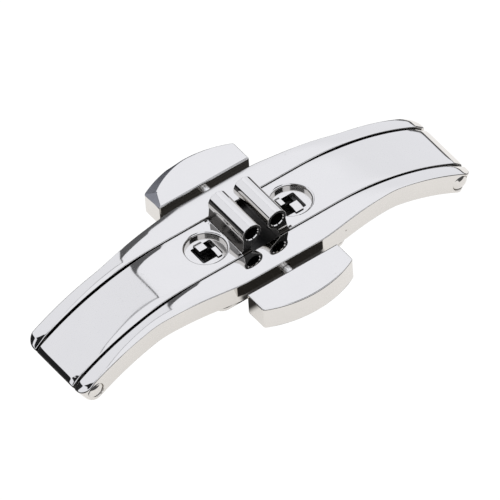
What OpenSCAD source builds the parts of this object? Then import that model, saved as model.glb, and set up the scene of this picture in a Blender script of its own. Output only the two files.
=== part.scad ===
// Folding watch clasp with two leaves and two side push buttons.
// Millimetres. X runs along the clasp, Y towards the rear button, Z up.
// The clasp stands on its noses at Z = 0, and depths count down from its flat top.

/* [Frame] */
// Half of the flat length in the middle
flat_half = 7.2; // [7.1:0.1:9]
// Radius of the curved top face
top_r = 25; // [22:0.5:40]
// Thickness of the rails
rail_t = 2.1; // [2.05:0.05:2.8]
// Distance from the middle to a hinge pin
hinge_reach = 19.5; // [17:0.1:22]
// Straight length at each nose
nose_straight = 1.4; // [1.35:0.05:2]
// Distance from a nose's end face to its hinge pin
hinge_set = 1.2; // [1:0.05:1.3]
// Rounding of a nose's upper edge
nose_top_r = 0.4; // [0.1:0.05:0.6]
// Rounding of a rail's lower edge at its nose
nose_bottom_r = 0.35; // [0.1:0.05:0.8]
// Rounding of a leaf's lower edge at its nose
leaf_nose_r = 0.9; // [0.4:0.05:1]
// Rounding of a nose's corners seen from above
nose_plan_r = 0.85; // [0.1:0.05:0.9]
// Half width of the frame over its arms
arm_half = 4.25; // [4:0.05:4.6]
// Half width of the frame beside the buttons
centre_half = 5.5; // [5.35:0.05:6.5]
// Half length of the widest part
wide_half = 4.4; // [3:0.1:6]
// Distance from the middle to where the taper meets the arms
taper_end = 12.8; // [10:0.1:15]
// Radius of the bends at both ends of the taper
taper_r = 12; // [4:0.5:14]
// Half width of the slot that the leaves lie in
slot_half = 2.8; // [2.75:0.05:3]
// Half length of the bridge between the rails
bridge_half = 6.95; // [6.85:0.05:7]

/* [Leaves] */
// Thickness of a leaf's curved arm
leaf_arm_t = 1.6; // [1.2:0.05:1.9]
// Thickness of a leaf over the bridge
leaf_mid_t = 0.9; // [0.8:0.05:1]
// Distance from the middle to a leaf's free end
leaf_end = 1.5; // [1.2:0.05:1.6]
// Distance from the middle to a strap tube's axis
tube_x = 1.35; // [1.2:0.05:1.4]
// Height of a strap tube's axis over the flat top
tube_z = 1.75; // [1.6:0.05:2.5]
// Outer radius of a strap tube
tube_r = 0.98; // [0.85:0.01:1]
// Radius of the bore for the strap pin
tube_bore_r = 0.65; // [0.5:0.05:0.7]
// Half length of a strap tube
tube_half = 2.55; // [2:0.05:2.65]
// Height at which the web starts to widen to the tube
web_z = 0.3; // [0.1:0.05:0.5]
// Angle below the tube's widest point at which the web's outer face starts
web_dip = 20; // [0:1:35]
// Distance from the middle to the outer foot of the web
web_foot_x = 2.42; // [2.2:0.01:2.43]

/* [Catch] */
// Distance from the middle to a recess
recess_x = 4.55; // [4.53:0.01:4.6]
// Radius of a recess
recess_r = 1.83; // [1.7:0.01:1.85]
// Width of the bevel round a recess
recess_bevel = 0.28; // [0.1:0.01:0.3]
// Depth of a recess down to its catch plate
recess_depth = 0.55; // [0.5:0.01:0.6]
// Width of the shoulder that the catch plate seats on
catch_lip = 0.12; // [0.05:0.01:0.15]
// Distance from the middle to the near edge of a catch window
window_near = 3.4; // [3.2:0.05:3.45]
// Distance from the middle to the far edge of a catch window
window_far = 5.5; // [5.3:0.05:5.7]
// Half width of a catch window
window_half = 1; // [0.9:0.05:1.2]

/* [Hooks] */
// Distance from the middle to a wide hook
wide_hook_x = 4.67; // [4.65:0.01:4.75]
// Width of a wide hook
wide_hook_w = 0.8; // [0.5:0.05:0.85]
// Distance from the middle to a narrow hook
narrow_hook_x = 3.85; // [3.8:0.01:3.9]
// Width of a narrow hook
narrow_hook_w = 0.45; // [0.3:0.05:0.5]
// How far a hook reaches over its catch plate
hook_bite = 0.2; // [0.1:0.02:0.3]
// Depth of a hook's top below the flat top
hook_top = 0.3; // [0.2:0.02:0.34]
// Distance from the centre line to a hook's inner side
hook_inner = 0.15; // [0.1:0.05:0.3]
// Fall of a hook's top towards its tip
hook_ramp = 0.12; // [0.02:0.02:0.14]

/* [Buttons] */
// Half length of a button
button_half = 4.8; // [4:0.1:5.4]
// Depth of a button from its inner face to the middle of its outer face
button_depth = 3.5; // [3:0.1:5]
// Radius of a button's outer face
button_r = 10.4; // [9:0.1:16]
// Rounding of a button's outer corners
button_corner_r = 0.3; // [0.1:0.05:0.8]
// Rounding of a button's outer upper and lower edges
button_edge_r = 0.35; // [0.1:0.05:0.6]
// Depth of a button's top below the flat top
button_top = 0.3; // [0.1:0.05:0.4]
// Height of a button
button_h = 2.45; // [1.8:0.05:3]
// Gap between the frame and a button at rest
button_gap = 0.95; // [0.75:0.05:1.3]
// How far a button can be pressed
travel = 0.6; // [0.5:0.05:0.65]

/* [Stems] */
// Radius of a button's stem
stem_r = 0.4; // [0.3:0.02:0.42]
// Depth of a stem's axis below the flat top
stem_depth = 1.1; // [1.05:0.02:1.3]
// Length of a stem inside its button
stem_grip = 1.15; // [0.6:0.05:1.6]
// Length of a stem inside its slide's lug
lug_t = 0.7; // [0.4:0.05:0.8]
// Thickness of a lug over its stem
lug_wall = 0.15; // [0.1:0.01:0.2]

/* [Slides] */
// Thickness of the roof over the slides
roof_t = 0.25; // [0.2:0.01:0.3]
// Half length of a slide's bar
bar_half = 5.25; // [5.15:0.05:5.3]
// Distance from the centre line to a bar's inner edge
bar_in = 0.7; // [0.7:0.02:0.8]
// Distance from the centre line to a bar's outer edge
bar_out = 1.9; // [1.8:0.05:2.1]
// Half width of the neck between bar and lug
neck_half = 0.9; // [0.7:0.05:1]
// Wall between the leaf slot and a lug's pocket
pocket_wall = 0.25; // [0.15:0.05:0.3]

/* [Springs] */
// Distance from the middle to a return spring
spring_x = 1.6; // [1.3:0.05:1.8]
// Outer radius of a return spring
spring_r = 0.25; // [0.2:0.01:0.28]
// Thickness of the spring wire
wire_d = 0.08; // [0.06:0.01:0.1]
// Turns of a return spring
turns = 5; // [3:1:5]
// Depth of a spring's pocket in its slide
spring_hole = 0.6; // [0.4:0.05:0.65]
// Half width of the seat between the springs
seat_half_y = 0.3; // [0.2:0.02:0.32]
// Half length of the seat between the springs
seat_half_x = 2.2; // [2.15:0.05:2.6]

/* [Cover] */
// Thickness of the cover plate
cover_t = 0.4; // [0.35:0.05:0.8]
// Height of the step that holds the cover's rim off the rails
cover_step = 0.15; // [0.05:0.01:0.3]
// Half length of the cover plate
cover_half_x = 6.9; // [6.8:0.05:7]
// Half width of the cover plate
cover_half_y = 5.1; // [5.05:0.05:5.3]
// Rounding of the cover plate's corners
cover_corner_r = 1; // [0.3:0.1:1.2]
// How far the step lies inside the cover's edge
step_inset = 0.3; // [0.1:0.05:0.35]
// Distance from the middle to a cover screw
screw_x = 5.75; // [5.5:0.05:5.8]
// Distance from the centre line to a cover screw
screw_y = 4; // [3.9:0.05:4.05]
// Radius of a cover screw
screw_r = 0.35; // [0.25:0.01:0.45]
// Radius of a cover screw's head
screw_head_r = 0.65; // [0.55:0.01:0.7]
// Thickness of a cover screw's head
head_t = 0.24; // [0.15:0.01:0.3]
// Length of a cover screw inside the rail
screw_hold = 1.1; // [0.6:0.05:1.3]

/* [Pins] */
// Radius of a hinge pin
pin_r = 0.5; // [0.35:0.01:0.55]
// Radius of a hinge pin's heads
pin_head_r = 0.75; // [0.7:0.01:0.85]
// Thickness of a hinge pin's heads
pin_head_t = 0.5; // [0.3:0.05:0.7]

/* [Clearances] */
// Gap between moving faces
move_gap = 0.05; // [0.03:0.01:0.06]
// Gap round a piece that is pressed or riveted in
seat_gap = 0.01; // [0.005:0.005:0.02]
// Gap beside a hook in the roof
hook_gap = 0.08; // [0.06:0.01:0.12]
// Gap between the bridge and the thick part of a leaf
step_gap = 0.1; // [0.06:0.01:0.2]

/* [Hidden] */
$fn = 96;

// The noses
mid_r = top_r - rail_t / 2;
hinge_back = nose_straight - hinge_set;
tip_angle = asin((hinge_reach - flat_half) / norm([mid_r, hinge_back])) - atan2(hinge_back, mid_r);
hinge_drop = top_r - mid_r * cos(tip_angle) + hinge_back * sin(tip_angle);

// Steps of a small rounding and of an arm's whole curve
bend_steps = 8;
arm_steps = 24;

function arc_points(x, y, r, from, to, steps = bend_steps) =
  [for (i = [0:steps]) let (a = from + (to - from) * i / steps) [x + r * cos(a), y + r * sin(a)]];

// Places points of the frame in which a nose lies level, with its origin at the centre of the arm's curve
function at_tip(points) = [for (p = points)
  [flat_half + p[0] * cos(tip_angle) + p[1] * sin(tip_angle),
    p[1] * cos(tip_angle) - p[0] * sin(tip_angle) - top_r]];

// Side view of an arm of the given thickness: over its curve, round its nose, along any extra
// points below it, and back under the curve. One run of points leaves no seam between arm and nose.
function arm_view(t, bottom_r, below, lag) = concat(
  arc_points(flat_half, -top_r, top_r, 90, 90 - tip_angle, arm_steps),
  at_tip(concat(
    arc_points(nose_straight - nose_top_r, top_r - nose_top_r, nose_top_r, 90, 0),
    arc_points(nose_straight - bottom_r, top_r - rail_t + bottom_r, bottom_r, 0, -90),
    below)),
  arc_points(flat_half, -top_r, top_r - t, 90 - tip_angle + lag, 90, arm_steps));

rail_view = arm_view(rail_t, nose_bottom_r, [], 0);
stand_h = -min([for (p = rail_view) p[1]]);
tip_x = max([for (p = rail_view) p[0]]);

// The leaf's side view has the round lower back of its knuckle, and a thin stretch over the bridge
knuckle_turn = asin(2 * leaf_arm_t / rail_t - 1);
knuckle_back = arc_points(hinge_back, top_r - rail_t / 2, rail_t / 2, -90, knuckle_turn - 180);
leaf_view = concat(
  arm_view(leaf_arm_t, leaf_nose_r, knuckle_back, atan2(rail_t / 2, top_r - leaf_arm_t)),
  [[bridge_half + step_gap, -leaf_arm_t], [bridge_half + step_gap, -leaf_mid_t],
    [leaf_end, -leaf_mid_t], [leaf_end, 0]]);

// The outline from above
taper_angle = atan2(centre_half - arm_half, taper_end - wide_half);
bend_len = taper_r * tan(taper_angle / 2);
quarter = concat(
  arc_points(wide_half - bend_len, centre_half - taper_r, taper_r, 90, 90 - taper_angle),
  arc_points(taper_end + bend_len, arm_half + taper_r, taper_r, 270 - taper_angle, 270),
  arc_points(tip_x - nose_plan_r, arm_half - nose_plan_r, nose_plan_r, 90, 0));
right_half = concat(quarter, [for (i = [len(quarter) - 1:-1:0]) [quarter[i][0], -quarter[i][1]]]);

// Depths below the flat top
roof_z = leaf_mid_t + move_gap;
pocket_z = roof_z + roof_t;
bar_z = pocket_z + move_gap;
bar_floor = rail_t - move_gap;
lug_top = stem_depth - stem_r - lug_wall;
spring_z = (bar_z + bar_floor) / 2;

// Places across the clasp
leaf_half = slot_half - move_gap;
lug_pocket_in = slot_half + pocket_wall;
lug_in = lug_pocket_in + move_gap + travel;
lug_out = lug_in + lug_t;
button_in = centre_half + button_gap;
button_out = button_in + button_depth;
hook_tip = window_half + hook_bite;
relief_in = seat_half_y + travel + move_gap * 2;
spring_end = relief_in + spring_hole;
relief_half = seat_half_x + move_gap * 4;

// Both faces of the web run a little into the tube, up to this circle
web_top_r = tube_r - 0.03;
web_reach = norm([tube_x - leaf_end, tube_z - web_z]);
web_turn = atan2(tube_z - web_z, tube_x - leaf_end) + asin(web_top_r / web_reach);
web_len = sqrt(web_reach * web_reach - web_top_r * web_top_r);
web_view = [[leaf_end, -leaf_mid_t / 2], [leaf_end, web_z],
  [leaf_end + web_len * cos(web_turn), web_z + web_len * sin(web_turn)], [tube_x, tube_z],
  [tube_x + web_top_r * cos(web_dip), tube_z - web_top_r * sin(web_dip)],
  [web_foot_x, 0], [web_foot_x, -leaf_mid_t / 2]];

// A box between two depths, measured from the flat top
module box(x0, x1, y0, y1, shallow, deep)
  translate([x0, y0, -deep]) cube([x1 - x0, y1 - y0, deep - shallow]);

// Draws a side view through the clasp's width
module across(half) rotate([90, 0, 0]) linear_extrude(2 * half, center = true) children();

// Draws an end view over a length along the clasp
module along(width) rotate([90, 0, 90]) linear_extrude(width, center = true) children();

// A round bar across the clasp, from one side to the other
module cross_rod(x, depth, r, from, to)
  translate([x, from, -depth]) rotate([-90, 0, 0]) cylinder(r = r, h = to - from);

// Turns a right or rear piece into its left or front twin
module half_turn() rotate([0, 0, 180]) children();

module frame() color("gainsboro") translate([0, 0, stand_h]) {
  difference() {
    intersection() {
      across(centre_half + 1) polygon(concat(rail_view,
        [for (i = [len(rail_view) - 1:-1:0]) [-rail_view[i][0], rail_view[i][1]]]));
      translate([0, 0, -stand_h - 1]) linear_extrude(stand_h + 2)
        polygon(concat(right_half, [for (p = right_half) -p]));
    }
    box(-tip_x - 1, tip_x + 1, -slot_half, slot_half, -1, roof_z);
    for (turn = [0, 180]) rotate([0, 0, turn]) {
      box(bridge_half, tip_x + 1, -slot_half, slot_half, -1, stand_h + 1);
      cross_rod(hinge_reach, hinge_drop, pin_r + seat_gap, -arm_half - 1, arm_half + 1);
      for (side = [0, 1]) mirror([0, side, 0])
        cross_rod(hinge_reach, hinge_drop, pin_head_r + seat_gap, arm_half - pin_head_t, arm_half + 1);
      hook_opening();
      slide_pockets();
      for (side = [0, 1]) mirror([0, side, 0])
        translate([screw_x, screw_y, -rail_t - 1]) cylinder(r = screw_r + seat_gap, h = screw_hold + 1);
    }
    box(-bar_half - move_gap, bar_half + move_gap, -bar_out - move_gap, bar_out + move_gap,
      pocket_z, rail_t + 1);
  }
}

// Opening in the roof for one pair of hooks
module hook_opening()
  box(narrow_hook_x - narrow_hook_w / 2 - hook_gap, wide_hook_x + wide_hook_w / 2 + hook_gap,
    -hook_tip - hook_gap, hook_tip + hook_gap, roof_z - 0.2, pocket_z + 0.2);

// Room for the rear slide's neck, lug and stem
module slide_pockets() {
  box(-neck_half - move_gap, neck_half + move_gap, bar_out, lug_pocket_in + 0.1, pocket_z, rail_t + 1);
  box(-neck_half - move_gap, neck_half + move_gap, lug_pocket_in, lug_out + move_gap,
    lug_top - move_gap * 2, rail_t + 1);
  cross_rod(0, stem_depth, stem_r + move_gap, lug_in, centre_half + 1);
}

// The right leaf: arm, knuckle, web and strap tube
module leaf() difference() {
  union() {
    across(leaf_half) polygon(leaf_view);
    across(tube_half) {
      polygon(web_view);
      translate([tube_x, tube_z]) circle(tube_r);
    }
  }
  cross_rod(tube_x, -tube_z, tube_bore_r, -tube_half - 1, tube_half + 1);
  cross_rod(hinge_reach, hinge_drop, pin_r + move_gap, -slot_half - 1, slot_half + 1);
  translate([recess_x, 0, 0]) {
    translate([0, 0, -recess_bevel]) cylinder(r1 = recess_r, r2 = recess_r + recess_bevel, h = recess_bevel);
    translate([0, 0, -leaf_mid_t - 1]) cylinder(r = recess_r, h = leaf_mid_t + 1);
    translate([0, 0, -leaf_mid_t - 1])
      cylinder(r = recess_r + catch_lip, h = leaf_mid_t + 1 - recess_depth);
  }
}

module left_leaf() color("lightsteelblue") translate([0, 0, stand_h]) half_turn() leaf();

module right_leaf() color("lightsteelblue") translate([0, 0, stand_h]) leaf();

// Round catch plate, pressed into the leaf from below
module catch() difference() {
  translate([recess_x, 0, -leaf_mid_t])
    cylinder(r = recess_r + catch_lip - seat_gap, h = leaf_mid_t - recess_depth);
  box(window_near, window_far, -window_half, window_half, recess_depth - 0.2, leaf_mid_t + 0.2);
}

module left_catch() color("slategray") translate([0, 0, stand_h]) half_turn() catch();

module right_catch() color("slategray") translate([0, 0, stand_h]) catch();

// Hinge pin with a riveted head in each rail
module hinge_pin() {
  cross_rod(hinge_reach, hinge_drop, pin_r, -arm_half + pin_head_t / 2, arm_half - pin_head_t / 2);
  for (side = [0, 1]) mirror([0, side, 0])
    cross_rod(hinge_reach, hinge_drop, pin_head_r, arm_half - pin_head_t + seat_gap, arm_half - move_gap);
}

module left_hinge_pin() color("dimgray") translate([0, 0, stand_h]) half_turn() hinge_pin();

module right_hinge_pin() color("dimgray") translate([0, 0, stand_h]) hinge_pin();

// The rear button, with a curved outer face and a blind hole for its stem
module button() {
  arc_y = button_out - button_r;
  corner_x = button_half - button_corner_r;
  corner_up = sqrt(pow(button_r - button_corner_r, 2) - pow(corner_x, 2));
  end = concat([[button_half, button_in]],
    arc_points(corner_x, arc_y + corner_up, button_corner_r, 0, atan2(corner_up, corner_x)),
    [[1.5 * corner_x, arc_y + 1.5 * corner_up]]);
  difference() {
    intersection() {
      translate([0, 0, -button_top - button_h]) linear_extrude(button_h)
        polygon(concat(end, [for (i = [len(end) - 1:-1:0]) [-end[i][0], end[i][1]]]));
      translate([0, arc_y, -button_top - button_h]) rotate_extrude($fn = 180) {
        square([button_r - button_edge_r, button_h]);
        translate([0, button_edge_r]) square([button_r, button_h - 2 * button_edge_r]);
        for (up = [button_edge_r, button_h - button_edge_r])
          translate([button_r - button_edge_r, up]) circle(button_edge_r);
      }
    }
    cross_rod(0, stem_depth, stem_r + seat_gap, button_in - 1, button_in + stem_grip);
  }
}

module rear_button() color("gainsboro") translate([0, 0, stand_h]) button();

module front_button() color("gainsboro") translate([0, 0, stand_h]) half_turn() button();

// Stem from the rear slide's lug to the rear button
module stem() cross_rod(0, stem_depth, stem_r, lug_in + seat_gap, button_in + stem_grip - seat_gap);

module rear_stem() color("silver") translate([0, 0, stand_h]) stem();

module front_stem() color("silver") translate([0, 0, stand_h]) half_turn() stem();

// End view of a hook: post, head and a sloping tip over the catch plate
module hook_shape() {
  tip_under = recess_depth - move_gap;
  post_out = window_half - move_gap;
  polygon([[bar_in, -bar_z - 0.2], [bar_in, -pocket_z], [hook_inner, -pocket_z], [hook_inner, -hook_top],
    [post_out - hook_bite, -hook_top], [hook_tip, -hook_top - hook_ramp], [hook_tip, -tip_under],
    [post_out, -tip_under], [post_out, -bar_z - 0.2]]);
}

// The rear slide: bar, two hooks, neck and the lug for the stem
module slide() difference() {
  union() {
    box(-bar_half, bar_half, bar_in, bar_out, bar_z, bar_floor);
    box(-neck_half, neck_half, bar_out - 0.1, lug_out, bar_z, bar_floor);
    box(-neck_half, neck_half, lug_in, lug_out, lug_top, bar_floor);
    translate([-wide_hook_x, 0, 0]) along(wide_hook_w) hook_shape();
    translate([narrow_hook_x, 0, 0]) along(narrow_hook_w) hook_shape();
  }
  box(-relief_half, relief_half, 0, relief_in, bar_z - 1, bar_floor + 1);
  for (x = [-spring_x, spring_x]) cross_rod(x, spring_z, spring_r + move_gap, relief_in - 0.1, spring_end);
  cross_rod(0, stem_depth, stem_r + seat_gap, lug_in, lug_out + 1);
}

module rear_slide() color("darkgray") translate([0, 0, stand_h]) slide();

module front_slide() color("darkgray") translate([0, 0, stand_h]) half_turn() slide();

// Return spring of the rear slide: one wire wound round a line across the clasp
wire_sides = 6;
turn_rings = 8;
coil_r = spring_r - wire_d / 2;
coil_from = seat_half_y + wire_d / 2 + seat_gap;
coil_len = spring_end - seat_gap - wire_d / 2 - coil_from;
rings = turns * turn_rings;
coil_tilt = atan2(coil_len / turns, 2 * PI * coil_r);

function ring_point(i, j) =
  let (turn = 360 * i / turn_rings, a = 360 * j / wire_sides, out = coil_r + wire_d / 2 * cos(a),
    up = wire_d / 2 * sin(a))
  [out * cos(turn) + up * sin(coil_tilt) * sin(turn),
    coil_from + coil_len * i / rings + up * cos(coil_tilt),
    out * sin(turn) - up * sin(coil_tilt) * cos(turn)];

module spring(x) translate([x, 0, -spring_z]) polyhedron(
  points = [for (i = [0:rings], j = [0:wire_sides - 1]) ring_point(i, j)],
  faces = concat(
    [[for (j = [0:wire_sides - 1]) j]],
    [[for (j = [wire_sides - 1:-1:0]) rings * wire_sides + j]],
    [for (i = [0:rings - 1], j = [0:wire_sides - 1]) let (k = (j + 1) % wire_sides)
      [i * wire_sides + j, (i + 1) * wire_sides + j, (i + 1) * wire_sides + k]],
    [for (i = [0:rings - 1], j = [0:wire_sides - 1]) let (k = (j + 1) % wire_sides)
      [i * wire_sides + j, (i + 1) * wire_sides + k, i * wire_sides + k]]));

module rear_left_spring() color("goldenrod") translate([0, 0, stand_h]) spring(-spring_x);

module rear_right_spring() color("goldenrod") translate([0, 0, stand_h]) spring(spring_x);

module front_left_spring() color("goldenrod") translate([0, 0, stand_h]) half_turn() spring(spring_x);

module front_right_spring() color("goldenrod") translate([0, 0, stand_h]) half_turn() spring(-spring_x);

// Bar between roof and cover that the springs push on
module spring_seat() color("slategray") translate([0, 0, stand_h])
  box(-seat_half_x, seat_half_x, -seat_half_y, seat_half_y, pocket_z, rail_t);

// Outline with four round corners, drawn in by an inset
module round_plate(inset) {
  x = cover_half_x - inset;
  y = cover_half_y - inset;
  r = cover_corner_r;
  square([2 * x - 2 * r, 2 * y], center = true);
  square([2 * x, 2 * y - 2 * r], center = true);
  for (i = [-1, 1], j = [-1, 1]) translate([i * (x - r), j * (y - r)]) circle(r);
}

module cover_plate() color("silver") translate([0, 0, stand_h]) difference() {
  union() {
    translate([0, 0, -rail_t - cover_step - cover_t]) linear_extrude(cover_t) round_plate(0);
    translate([0, 0, -rail_t - cover_step - 0.1]) linear_extrude(cover_step + 0.1) round_plate(step_inset);
  }
  for (i = [-1, 1], j = [-1, 1]) translate([i * screw_x, j * screw_y, 0]) {
    translate([0, 0, -rail_t - 2]) cylinder(r = screw_r + seat_gap, h = 3);
    translate([0, 0, head_t - rail_t - cover_step - cover_t - 2])
      cylinder(r = screw_head_r + seat_gap, h = 2);
  }
}

// Screws that hold the cover plate to the rails, heads flush below
module cover_screws() color("dimgray") translate([0, 0, stand_h])
  for (i = [-1, 1], j = [-1, 1]) translate([i * screw_x, j * screw_y, 0]) {
    translate([0, 0, -rail_t - cover_step - cover_t]) cylinder(r = screw_head_r, h = head_t);
    translate([0, 0, -rail_t - cover_step - cover_t])
      cylinder(r = screw_r, h = cover_t + cover_step + screw_hold - seat_gap);
  }

frame();
left_leaf();
right_leaf();
left_catch();
right_catch();
left_hinge_pin();
right_hinge_pin();
front_button();
rear_button();
front_stem();
rear_stem();
front_slide();
rear_slide();
front_left_spring();
front_right_spring();
rear_left_spring();
rear_right_spring();
spring_seat();
cover_plate();
cover_screws();
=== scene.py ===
import math
import bmesh
import bpy
from mathutils import Matrix, Vector


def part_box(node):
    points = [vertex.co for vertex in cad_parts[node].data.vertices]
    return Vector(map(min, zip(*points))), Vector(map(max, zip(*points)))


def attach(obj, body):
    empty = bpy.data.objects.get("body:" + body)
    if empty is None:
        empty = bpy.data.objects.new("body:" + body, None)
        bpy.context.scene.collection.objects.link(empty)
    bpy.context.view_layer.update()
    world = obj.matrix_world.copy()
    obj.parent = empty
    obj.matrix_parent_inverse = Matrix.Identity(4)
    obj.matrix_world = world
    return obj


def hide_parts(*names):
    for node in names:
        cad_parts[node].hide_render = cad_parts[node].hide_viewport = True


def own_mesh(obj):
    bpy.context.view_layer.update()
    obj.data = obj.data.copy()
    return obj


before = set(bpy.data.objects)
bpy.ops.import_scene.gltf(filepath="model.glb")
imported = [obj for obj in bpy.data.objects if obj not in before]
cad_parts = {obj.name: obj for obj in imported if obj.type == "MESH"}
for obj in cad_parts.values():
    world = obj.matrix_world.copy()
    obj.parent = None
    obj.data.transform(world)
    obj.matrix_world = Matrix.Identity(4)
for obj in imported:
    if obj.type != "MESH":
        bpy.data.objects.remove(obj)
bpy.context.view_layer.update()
scene = bpy.context.scene
scene.view_settings.view_transform = "Standard"
millimetre = 0.001
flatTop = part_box("frame")[1].z / millimetre  # height of the flat top over the table
print("frame loaded:", len(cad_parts), "nodes, flat top at", round(flatTop, 3), "mm")


# Node trees are drawn on a bench, where sums on wires add their own Math nodes

def sign(operation, swapped=False):
    # a method for an arithmetic sign, or for its reflected form
    def method(self, other):
        return self.step(operation, other, swapped=swapped)
    return method


class Wire:
    __add__, __radd__ = sign("ADD"), sign("ADD", True)
    __sub__, __rsub__ = sign("SUBTRACT"), sign("SUBTRACT", True)
    __mul__, __rmul__ = sign("MULTIPLY"), sign("MULTIPLY", True)
    __truediv__, __rtruediv__ = sign("DIVIDE"), sign("DIVIDE", True)

    def __init__(self, bench, socket):
        self.bench = bench
        self.socket = socket

    def other(self, name):
        # another output of the same node
        return Wire(self.bench, self.socket.node.outputs[name])

    def step(self, operation, *others, swapped=False):
        values = [self, *others]
        if swapped:
            values.reverse()
        return self.bench.add("ShaderNodeMath", {"operation": operation}, dict(enumerate(values)))


class Bench:
    def __init__(self, tree):
        self.tree = tree
        tree.nodes.clear()

    def add(self, kind, settings=None, sockets=None):
        # any node: its settings first, then values or wires for its sockets
        node = self.tree.nodes.new(kind)
        for key, value in (settings or {}).items():
            setattr(node, key, value)
        for key, value in (sockets or {}).items():
            found = [s for i, s in enumerate(node.inputs) if key in (i, s.identifier)]
            found = found or [s for s in node.inputs if s.name == key and s.enabled]
            if isinstance(value, Wire):
                self.tree.links.new(value.socket, found[0])
            else:
                found[0].default_value = value
        first = next((s for s in node.outputs if s.enabled), None)
        return Wire(self, first) if first else node

    def rise(self, value, start, end):
        # 0 below start, 1 above end, smooth between
        return self.add("ShaderNodeMapRange", {"interpolation_type": "SMOOTHSTEP"},
                        {"Value": value, "From Min": start, "From Max": end})

    def band(self, value, low, high, edge):
        # 1 from low to high, with edges that are soft over this distance to both sides
        return self.rise(value, low - edge, low + edge) * (1 - self.rise(value, high - edge, high + edge))

    def blend(self, share, low, high):
        # a colour between low and high
        return self.add("ShaderNodeMix", {"data_type": "RGBA"},
                        {"Factor_Float": share, "A_Color": low, "B_Color": high})

    def show(self, output, mirrored, plainKind, glow):
        # ends a tree: plain white to the camera's own rays, and this shader to all others
        plain = self.add(plainKind, None, {"Color": (1, 1, 1, 1), "Strength": glow})
        seen = self.add("ShaderNodeLightPath").other("Is Camera Ray")
        both = self.add("ShaderNodeMixShader", None, {0: seen, 1: mirrored, 2: plain})
        self.add(output, None, {"Surface": both})


def newGroup(name, inputs):
    # an empty Geometry Nodes tree with named inputs
    tree = bpy.data.node_groups.new(name, "GeometryNodeTree")
    for label, kind in inputs:
        tree.interface.new_socket(label, in_out="INPUT", socket_type="NodeSocket" + kind)
    tree.interface.new_socket("Made", in_out="OUTPUT", socket_type="NodeSocketGeometry")
    bench = Bench(tree)
    given = bench.add("NodeGroupInput")
    return tree, bench, {label: given.other(label) for label, kind in inputs}


def endGroup(bench, geometry, finish):
    whole = bench.add("GeometryNodeRealizeInstances", None, {"Geometry": geometry})
    painted = bench.add("GeometryNodeSetMaterial", None, {"Geometry": whole, "Material": finish})
    bench.add("NodeGroupOutput", None, {"Made": painted})


def runGroup(piece, tree, values):
    # inputs are set by their identifiers, before the piece is first evaluated
    modifier = piece.modifiers.new(tree.name, "NODES")
    modifier.node_group = tree
    for item in tree.interface.items_tree:
        if item.in_out == "INPUT" and item.name in values:
            modifier[item.identifier] = values[item.name]


# Finishes. Each is one polished or ground steel with its own marks, except two dark copies that paint shade
# into bores, pockets, slides, webs and the line under the rails

markLook = dict(  # a rise is where a mark starts to show and where it is full
    cloudDetail=3, cloudRough=0.5, cloudMiddle=0.5, lineDetail=2, lineRough=0.6, crossScale=0.6,
    hairRise=(0.66, 0.74), crossRise=(0.7, 0.77), pitRise=(0.1, 0.22), speckRise=0.01,
    lineWear=0.12, pitWear=0.3, lineDepth=0.5, pitDepth=2, deepest=0.00001)


def steel(name, look):
    marks = markLook
    material = bpy.data.materials.new(name)
    material.use_nodes = True
    bench = Bench(material.node_tree)
    place = bench.add("ShaderNodeTexCoord").other("Object")

    def noise(scale, stretch, detail, rough):
        drawn = bench.add("ShaderNodeMapping", None, {"Vector": place, "Scale": stretch})
        return bench.add("ShaderNodeTexNoise", None,
                         {"Vector": drawn, "Scale": scale, "Detail": detail, "Roughness": rough})

    def hairlines(scale, stretch, rise):
        # fine scratches along the way in which the noise is stretched
        drawn = noise(scale, stretch, marks["lineDetail"], marks["lineRough"])
        return bench.rise(drawn, *rise) * look["hairShare"]

    # soft smears of the polishing wheel, lines of two directions and a few tiny pits
    cloud = noise(look["cloudScale"], (1, 1, 1), marks["cloudDetail"], marks["cloudRough"])
    lines = hairlines(look["hairScale"], look["hairStretch"], marks["hairRise"])
    lines += hairlines(look["hairScale"] * marks["crossScale"], look["crossStretch"], marks["crossRise"])
    cells = bench.add("ShaderNodeTexVoronoi", None, {"Vector": place, "Scale": look["speckScale"]})
    chance = bench.add("ShaderNodeSeparateColor", None, {"Color": cells.other("Color")})
    common = 1 - look["speckShare"]
    rare = bench.rise(chance, common, common + marks["speckRise"])
    pits = rare * (1 - bench.rise(cells, *marks["pitRise"]))

    worn = bench.blend(cloud, look["darkTint"] + (1,), look["tint"] + (1,))
    colour = bench.blend(pits, worn, look["pitTint"] + (1,))
    rough = look["roughness"] + (cloud - marks["cloudMiddle"]) * look["cloudShare"]
    rough = rough + lines * marks["lineWear"] + pits * marks["pitWear"]
    height = lines * -marks["lineDepth"] - pits * marks["pitDepth"]
    bump = bench.add("ShaderNodeBump", None, {
        "Height": height, "Strength": look["bumpShare"], "Distance": marks["deepest"]})
    surface = bench.add("ShaderNodeBsdfPrincipled", None, {
        "Base Color": colour, "Metallic": 1.0, "Roughness": rough, "Normal": bump})
    bench.add("ShaderNodeOutputMaterial", None, {"Surface": surface})
    return material


mirrorLook = dict(
    tint=(0.665, 0.645, 0.615), darkTint=(0.645, 0.627, 0.6), pitTint=(0.2, 0.18, 0.16),
    roughness=0.045, cloudShare=0.05, cloudScale=420, hairScale=9000, hairStretch=(0.06, 1, 1),
    crossStretch=(1, 0.05, 1), hairShare=0.35, speckScale=1500, speckShare=0.012, bumpShare=0.12)
groundLook = dict(
    mirrorLook, tint=(0.5, 0.49, 0.475), darkTint=(0.4, 0.39, 0.38), roughness=0.24,
    cloudShare=0.12, hairStretch=(0.03, 1, 1), hairShare=1.0, speckShare=0.03, bumpShare=0.4)
# painted shade: a dark copy of the ground steel for the bores, the bridge's pockets, the slides, the leaves'
# sides and the line under the rails
paintedShadeLook = dict(
    groundLook, tint=(0.1, 0.098, 0.095), darkTint=(0.05, 0.049, 0.048), roughness=0.38)
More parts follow.
